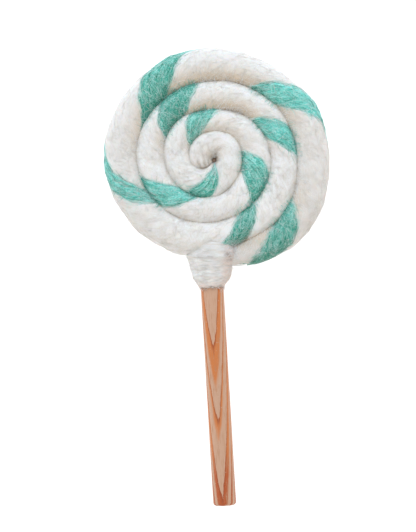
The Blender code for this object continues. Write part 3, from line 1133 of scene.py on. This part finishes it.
def mint_tones(tree, streaks, grain, shade):
    """Mint wool: tangled pale and deep fibres along the strand, with painted light where it looks paler and
    painted shade where it looks deeper and beside the grooves.
    """
    mixed = maths(tree, "ADD", maths(tree, "MULTIPLY", streaks, 0.5), maths(tree, "MULTIPLY", grain, 0.5))
    colour = mix_colours(tree, stepped(tree, mixed, 0.38, 0.49), MINT_DEEP, MINT_MID)
    colour = mix_colours(tree, stepped(tree, mixed, 0.5, 0.6), colour, MINT_PALE)
    light = maths(tree, "MULTIPLY", stored(tree, "light"), MINT_LIGHT_SHARE)
    colour = mix_colours(tree, light, colour, MINT_SUNNY)
    colour = mix_colours(tree, maths(tree, "MULTIPLY", light, -1.0), colour, MINT_DUSKY)
    return mix_colours(tree, shade, colour, MINT_SHADE)


def soften(shader, weight):
    """Light that enters the wool comes out a little way off."""
    shader.inputs["Subsurface Weight"].default_value = weight
    shader.inputs["Subsurface Radius"].default_value = SCATTER
    shader.inputs["Subsurface Scale"].default_value = MM


def rope_felt(name):
    """Felt of both colours, mixed over a short way where the mint strand meets the white wool."""
    material, tree, shader = start_material(name, WHITE_COOL, 0.95, 0.2)
    soften(shader, 0.25)
    place = add_node(tree, "TexCoord").outputs["Object"]
    lay = scaled(tree, stored(tree, "lay", "Vector"), (0.2, 1.0, 1.0))
    streaks = noise(tree, lay, 1.6, 5.0, 0.8)
    grain = noise(tree, place, 1300.0, 3.0, 1.5)
    shade = stored(tree, "groove")
    border = maths(tree, "ADD", stored(tree, "border"), centred(tree, streaks, BORDER_STRAY))
    share = stepped(tree, border, -BORDER_BLUR, BORDER_BLUR)
    mint = mint_tones(tree, streaks, grain, shade)
    white = white_tones(tree, place, streaks, grain, shade)
    tree.links.new(mix_colours(tree, share, mint, white), shader.inputs["Base Color"])
    height = maths(tree, "ADD", maths(tree, "MULTIPLY", streaks, 0.5), grain)
    add_bump(tree, shader, height, 0.22)
    return material


def collar_felt():
    """White wool wound in thin strands across the collar, with painted shade between the strands, on its
    right side and near its hem.
    """
    material, tree, shader = start_material("collar_felt", WHITE_COOL, 0.95, 0.2)
    soften(shader, 0.25)
    place = add_node(tree, "TexCoord").outputs["Object"]
    lay = stored(tree, "lay", "Vector")
    strands = noise(tree, scaled(tree, lay, (2.2, 0.5, 0.5)), 1.0, 4.0, 0.5)
    mottles = noise(tree, place, 300.0)
    colour = mix_colours(tree, stepped(tree, mottles, 0.35, 0.7), WHITE_COOL, WHITE_WARM)
    colour = mix_colours(tree, stepped(tree, strands, 0.52, 0.28), colour, COLLAR_SHADE)
    colour = mix_colours(tree, stored(tree, "dusk"), colour, COLLAR_PAINTED_SHADE)
    tree.links.new(colour, shader.inputs["Base Color"])
    add_bump(tree, shader, strands, 0.12)
    return material


def measured(tree, place, way):
    """How far a place lies along a way, in millimetres."""
    node = add_node(tree, "VectorMath", operation="DOT_PRODUCT")
    node.inputs[1].default_value = [part / MM for part in way]
    tree.links.new(place.outputs["Vector"], node.inputs[0])
    return node.outputs["Value"]


def wood_rings(tree, place, from_pit):
    """The number of the ring that each place lies in, growing evenly through each ring."""
    tilt = math.radians(RING_TILT)
    across = measured(tree, from_pit, (RING_LEAN, math.sin(tilt), math.cos(tilt)))
    waver = centred(tree, noise(tree, scaled(tree, place, (260.0, 60.0, 260.0))), 0.5)
    rough = centred(tree, noise(tree, scaled(tree, place, (1500.0, 260.0, 1500.0))), 0.35)
    bent = maths(tree, "ADD", across, maths(tree, "ADD", waver, rough))
    off_axis = maths(tree, "SUBTRACT", measured(tree, from_pit, (1.0, 0.0, 0.0)), RING_AXIS_X)
    off_axis = maths(tree, "ABSOLUTE", off_axis, 0.0)
    bent = maths(tree, "SUBTRACT", bent, maths(tree, "MULTIPLY", off_axis, RING_POINT))
    return maths(tree, "MULTIPLY", maths(tree, "SUBTRACT", bent, RING_PHASE), 1.0 / RING_SPACING)


def wood_grain():
    """Pale wood whose rings, cut at a slant, show as nested points with a sharp edge on their upper side."""
    material, tree, shader = start_material("stick_wood", WOOD_PALE, 0.55, 0.0)
    shader.inputs["Specular IOR Level"].default_value = 0.4
    place = add_node(tree, "TexCoord").outputs["Object"]
    from_pit = add_node(tree, "VectorMath", operation="SUBTRACT")
    from_pit.inputs[1].default_value = PIT
    tree.links.new(place, from_pit.inputs[0])
    ring = wood_rings(tree, place, from_pit)
    share = maths(tree, "FRACT", ring, 0.0)
    late = maths(tree, "DIVIDE", maths(tree, "SUBTRACT", share, ring_start(tree, ring)), RING_FADE)
    dark = maths(tree, "MULTIPLY", stepped(tree, late, 0.0, 1.0), stepped(tree, share, 1.0, 0.98))
    low_end = stepped(tree, measured(tree, from_pit, (0.0, 1.0, 0.0)), *DEEP_WOOD)
    deepest = mix_colours(tree, low_end, WOOD_DARK, WOOD_DEEP)
    colour = mix_colours(tree, dark, WOOD_PALE, deepest)
    edge = maths(tree, "MULTIPLY", stepped(tree, share, 0.84, 0.97), stepped(tree, share, 1.0, 0.98))
    colour = mix_colours(tree, maths(tree, "MULTIPLY", edge, 0.75), colour, WOOD_EDGE)
    hairs = noise(tree, scaled(tree, place, (2600.0, 240.0, 2600.0)))
    colour = mix_colours(tree, stepped(tree, hairs, 0.48, 0.8), colour, WOOD_MID)
    specks = noise(tree, place, 1900.0, 2.0)
    colour = mix_colours(tree, stepped(tree, specks, 0.6, 0.85), colour, WOOD_SPECK)
    tree.links.new(colour, shader.inputs["Base Color"])
    add_bump(tree, shader, hairs, 0.05)
    return material


def ring_start(tree, ring):
    """Where the late wood starts in each ring, as a share of the ring."""
    number = maths(tree, "FLOOR", ring, 0.0)
    place = maths(tree, "DIVIDE", maths(tree, "SUBTRACT", number, LOWEST_RING - 0.5), float(len(RING_STARTS)))
    table = add_node(tree, "ValToRGB")
    table.color_ramp.interpolation = "CONSTANT"
    stops = table.color_ramp.elements
    while len(stops) < len(RING_STARTS):
        stops.new(0.5)
    for k, start in enumerate(RING_STARTS):
        stops[k].position = k / len(RING_STARTS)
        stops[k].color = (start, start, start, 1.0)
    tree.links.new(place, table.inputs["Fac"])
    return table.outputs["Color"]


def plain_wool(name, colour):
    """The wool of loose fibres."""
    return start_material(name, colour, 0.9, 0.15)[0]


# The room

CAMERA_HEIGHT = 0.85
SENSOR = 36.0
PHOTO_CENTRE = (-4.27, -36.7)
PHOTO_LEAN = 3.37
FLOOR_GREY = srgb(170, 170, 170)


def add_camera():
    """Straight above, turned as the photo is, with the pixels at the disc's mid height at their true size."""
    data = bpy.data.cameras.new("camera")
    data.sensor_width = SENSOR
    reach = CAMERA_HEIGHT - MID_HEIGHT * MM
    data.lens = SENSOR * reach / (PHOTO_HEIGHT * PHOTO_MM * MM)
    data.clip_start = 0.01
    data.clip_end = 10.0
    camera = bpy.data.objects.new("camera", data)
    camera.location = (PIT[0] + PHOTO_CENTRE[0] * MM, PIT[1] + PHOTO_CENTRE[1] * MM, CAMERA_HEIGHT)
    camera.rotation_euler = (0.0, 0.0, -math.radians(PHOTO_LEAN))
    bpy.context.scene.collection.objects.link(camera)
    bpy.context.scene.camera = camera


def add_light(name, place, size, power, colour):
    """A square lamp that faces the disc."""
    data = bpy.data.lights.new(name, "AREA")
    data.size = size
    data.energy = power
    data.color = colour
    lamp = bpy.data.objects.new(name, data)
    lamp.location = place
    way = np.array([0.0, 0.02, 0.0]) - np.array(place)
    pitch = math.atan2(math.hypot(way[0], way[1]), -way[2])
    lamp.rotation_euler = (pitch, 0.0, math.atan2(way[1], way[0]) - math.radians(90.0))
    bpy.context.scene.collection.objects.link(lamp)


def add_room():
    """A pale floor, a soft lamp and an even pale sky."""
    bpy.ops.mesh.primitive_plane_add(size=6.0, location=(0.0, 0.0, 0.0))
    floor = bpy.context.object
    floor.name = "pale_floor"
    material, _, shader = start_material("floor_paper", FLOOR_GREY, 0.9, 0.0)
    shader.inputs["Emission Color"].default_value = (1.0, 1.0, 1.0, 1.0)
    shader.inputs["Emission Strength"].default_value = 0.9
    floor.data.materials.append(material)
    world = bpy.data.worlds.new("sky")
    bpy.context.scene.world = world
    world.use_nodes = True
    sky = world.node_tree.nodes["Background"]
    sky.inputs["Color"].default_value = (1.0, 0.95, 0.885, 1.0)
    sky.inputs["Strength"].default_value = 0.78
    add_light("key", (-0.1, 0.75, 0.5), 0.6, 4.3, (0.66, 0.82, 1.0))
    bpy.context.scene.view_settings.view_transform = "Standard"


def place_piece(piece, node=None):
    """Puts a piece on the part's one body, and hides the solid that it stands for when one is given."""
    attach(piece, "root")
    if node:
        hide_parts(node)


def build():
    """The whole scene."""
    add_camera()
    add_room()
    place_piece(add_white_rope(rope_felt("white_felt")), "rope_white")
    place_piece(add_mint_strand(rope_felt("mint_felt")), "rope_mint")
    # The wool in the pit is coloured with painted shade
    place_piece(add_pit_plug(plain_wool("pit_shade_wool", PIT_SHADE)))
    place_piece(add_collar(collar_felt()), "collar")
    place_piece(add_stick(wood_grain()), "stick")
    fibres = {"white": plain_wool("white_fibre", WHITE_HAIR),
              "warm_white": plain_wool("warm_white_fibre", WARM_HAIR),
              "pale": plain_wool("pale_mint_fibre", MINT_FIBRE),
              "mid": plain_wool("mint_fibre", MINT_MID),
              "deep": plain_wool("deep_mint_fibre", MINT_SHADOWED)}
    white_bridges, mint_bridges = add_bridges(fibres)
    white_pieces = add_white_fibres(fibres) + [add_fuzz(fibres["white"]), white_bridges]
    for piece in white_pieces + [add_strayed_fibres(fibres["white"])]:
        place_piece(piece)
    for piece in add_mint_fibres(fibres) + [mint_bridges]:
        place_piece(piece)
    collar_pieces = [add_collar_fibres("collar_fibres", 1100, 303, fibres["white"]),
                     add_collar_fibres("collar_warm_fibres", 400, 313, fibres["warm_white"]),
                     add_collar_wisps(fibres["white"]), add_tufts(fibres["white"]),
                     add_collar_specks(plain_wool("brown_fibre", SPECK_BROWN))]
    for piece in collar_pieces:
        place_piece(piece)


build()
